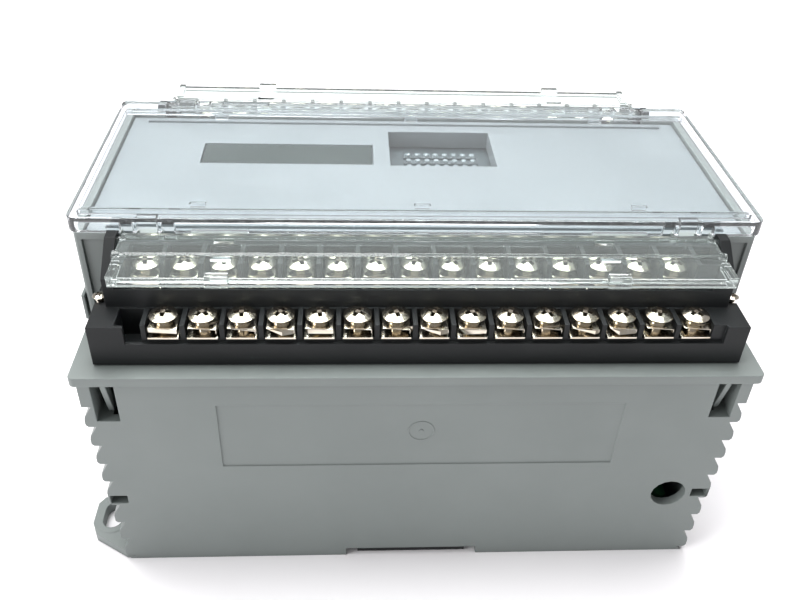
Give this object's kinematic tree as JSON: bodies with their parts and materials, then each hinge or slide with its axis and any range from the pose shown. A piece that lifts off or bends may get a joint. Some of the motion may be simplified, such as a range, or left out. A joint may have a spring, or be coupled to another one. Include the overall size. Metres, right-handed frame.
{
  "type": "programmable logic controller module",
  "caption": "Rail or panel mounted programmable controller with screw terminal blocks along both long sides, hinged clear terminal flaps and a clear lid over an indicator panel.",
  "frame": {"origin": "middle of the rectangle round the part at its back face, the face that lies on a panel or rail", "axes": "+X along the long side and the terminal rows, -Y the side nearest the viewer in the picture, +Z out of the mounting face towards the lid"},
  "size_m": [0.1544, 0.0992, 0.0828],
  "materials": {
    "case_grey": "fine satin moulded grey",
    "panel_grey": "smooth pale grey",
    "block_black": "satin glass-filled black",
    "clear_plastic": "clear polished plastic",
    "smoked_plastic": "smoked glossy",
    "nickel": "nickel plated steel",
    "board_green": "solder resist on glass laminate",
    "dark_part": "moulded black",
    "relay_blue": "blue relay case",
    "core_steel": "varnished laminations",
    "sleeve_blue": "shrink sleeve"
  },
  "bodies": {
    "housing": {"lower_case": "case_grey", "back_plate": "case_grey", "upper_housing": "case_grey", "front_panel": "panel_grey", "display_filter": "smoked_plastic", "indicator_board": "board_green", "power_board": "board_green", "logic_board": "board_green", "transformer": "core_steel", "bulk_capacitor": "sleeve_blue", "board_connector": "dark_part", "processor": "dark_part", "expansion_connector": "dark_part", "relay_1": "relay_blue", "relay_2": "relay_blue", "relay_3": "relay_blue", "relay_4": "relay_blue", "terminal_block_near": "block_black", "terminal_header_near": "dark_part", "block_screw_near_1": "nickel", "block_screw_near_2": "nickel", "terminal_block_far": "block_black", "terminal_header_far": "dark_part", "block_screw_far_1": "nickel", "block_screw_far_2": "nickel", "terminal_screw_lower_01": "nickel", "terminal_screw_lower_02": "nickel", "terminal_screw_lower_03": "nickel", "terminal_screw_lower_04": "nickel", "terminal_screw_lower_05": "nickel", "terminal_screw_lower_06": "nickel", "terminal_screw_lower_07": "nickel", "terminal_screw_lower_08": "nickel", "terminal_screw_lower_09": "nickel", "terminal_screw_lower_10": "nickel", "terminal_screw_lower_11": "nickel", "terminal_screw_lower_12": "nickel", "terminal_screw_lower_13": "nickel", "terminal_screw_lower_14": "nickel", "terminal_screw_lower_15": "nickel", "terminal_screw_upper_01": "nickel", "terminal_screw_upper_02": "nickel", "terminal_screw_upper_03": "nickel", "terminal_screw_upper_04": "nickel", "terminal_screw_upper_05": "nickel", "terminal_screw_upper_06": "nickel", "terminal_screw_upper_07": "nickel", "terminal_screw_upper_08": "nickel", "terminal_screw_upper_09": "nickel", "terminal_screw_upper_10": "nickel", "terminal_screw_upper_11": "nickel", "terminal_screw_upper_12": "nickel", "terminal_screw_upper_13": "nickel", "terminal_screw_upper_14": "nickel", "terminal_screw_upper_15": "nickel"},
    "lid": {"clear_lid": "clear_plastic"},
    "flap_near": {"terminal_flap_near": "clear_plastic"},
    "flap_far": {"terminal_flap_far": "clear_plastic"},
    "rail_latch": {"rail_latch": "block_black"},
    "expansion_cover": {"expansion_cover": "case_grey"}
  },
  "joints": [
    {"name": "lid_lift", "type": "slide", "parent": "housing", "child": "lid", "axis": [0, 0, 1], "range_m": [0, 0.012]},
    {"name": "flap_near_hinge", "type": "hinge", "parent": "housing", "child": "flap_near", "pos_m": [0, -0.0305, 0.079], "axis": [-1, 0, 0], "range_deg": [0, 90]},
    {"name": "flap_far_hinge", "type": "hinge", "parent": "housing", "child": "flap_far", "pos_m": [0, 0.0305, 0.079], "axis": [1, 0, 0], "range_deg": [0, 90]},
    {"name": "latch_pull", "type": "slide", "parent": "housing", "child": "rail_latch", "axis": [0, -1, 0], "range_m": [0, 0.003], "stiffness_N_per_m": 500, "springref_m": -0.002},
    {"name": "expansion_cover_pull", "type": "slide", "parent": "housing", "child": "expansion_cover", "axis": [-1, 0, 0], "range_m": [0, 0.006]}
  ]
}
